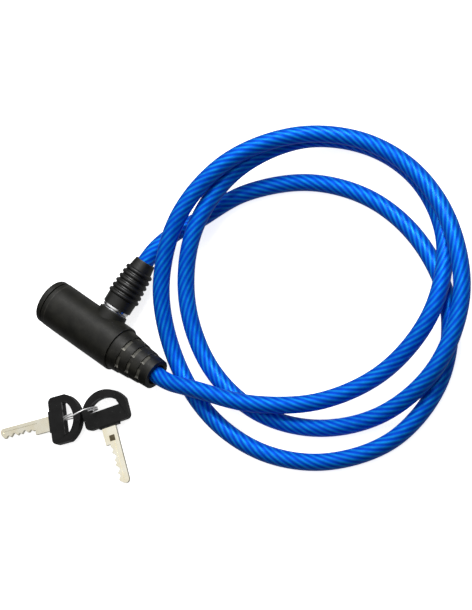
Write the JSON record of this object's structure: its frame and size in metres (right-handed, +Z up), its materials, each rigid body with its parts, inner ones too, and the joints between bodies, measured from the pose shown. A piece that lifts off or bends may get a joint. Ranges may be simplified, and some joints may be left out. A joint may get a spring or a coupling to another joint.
{
  "type": "cable lock",
  "caption": "Keyed cable lock: a barrel with a sliding latch, a plug with a ribbed sleeve, a long looped sheathed cable, and keys on a split ring.",
  "frame": {"origin": "centre of the footprint of the barrel, the plug and the keys, on the ground that the lock lies on; the free cable isn't counted", "axes": "+X along the barrel from its end cap to its tail boot, +Y out along the plug, +Z up"},
  "size_m": [0.2404, 0.2714, 0.0364],
  "materials": {
    "shell": "fine matt moulded texture",
    "boot": "matt rubber",
    "sleeve": "matt rubber with round ribs",
    "zinc": "plain die casting",
    "steel": "turned steel",
    "chrome": "bright chrome plate",
    "brass": "turned brass",
    "spring": "bright spring wire",
    "sheath": "clear glossy blue sheath over a stranded rope",
    "rope": "stranded steel rope",
    "blade": "pale nickel plate",
    "bow": "satin black moulding",
    "ring": "bright spring wire"
  },
  "bodies": {
    "root": {"barrel_shell": "shell", "end_cap": "shell", "tail_boot": "boot", "lock_housing": "zinc", "socket_bush": "steel", "latch_spring": "spring", "tail_ferrule": "steel", "ferrule_pin": "steel", "tail_rope_end": "rope", "cable_loops": "sheath", "cable_lead": "sheath", "split_ring": "ring"},
    "core": {"key_core": "brass", "wafer_set": "brass", "wafer_springs": "spring", "core_clip": "steel", "drive_cam": "steel"},
    "latch": {"latch_plate": "steel"},
    "plug": {"plug_pin": "chrome", "plug_collar": "chrome", "plug_ferrule": "steel", "plug_rope_end": "rope", "plug_sleeve": "sleeve"},
    "key_1": {"key_1_blade": "blade", "key_1_bow": "bow"},
    "key_2": {"key_2_blade": "blade", "key_2_bow": "bow"}
  },
  "joints": [
    {"name": "core_turn", "type": "hinge", "parent": "root", "child": "core", "pos_m": [-0.034, 0.017, 0.014], "axis": [1, 0, 0], "range_deg": [-90, 0]},
    {"name": "latch_drop", "type": "slide", "parent": "root", "child": "latch", "axis": [0, 0, 1], "range_m": [-0.00175, 0], "deforming": ["latch_spring"]},
    {"name": "plug_pull", "type": "slide", "parent": "root", "child": "plug", "axis": [0, 1, 0], "range_m": [0, 0.018], "deforming": ["cable_lead"]},
    {"name": "key_1_swing", "type": "hinge", "parent": "root", "child": "key_1", "pos_m": [-0.0024, -0.0335, 0.00625], "axis": [0, 0, 1], "range_deg": [-10, 12]},
    {"name": "key_2_swing", "type": "hinge", "parent": "root", "child": "key_2", "pos_m": [0.0087, -0.0205, 0.00625], "axis": [0, 0, 1], "range_deg": [0, 45]}
  ],
  "couplings": [
    {"joint": "latch_drop", "follows": "core_turn", "m_per_rad": 0.001114}
  ]
}
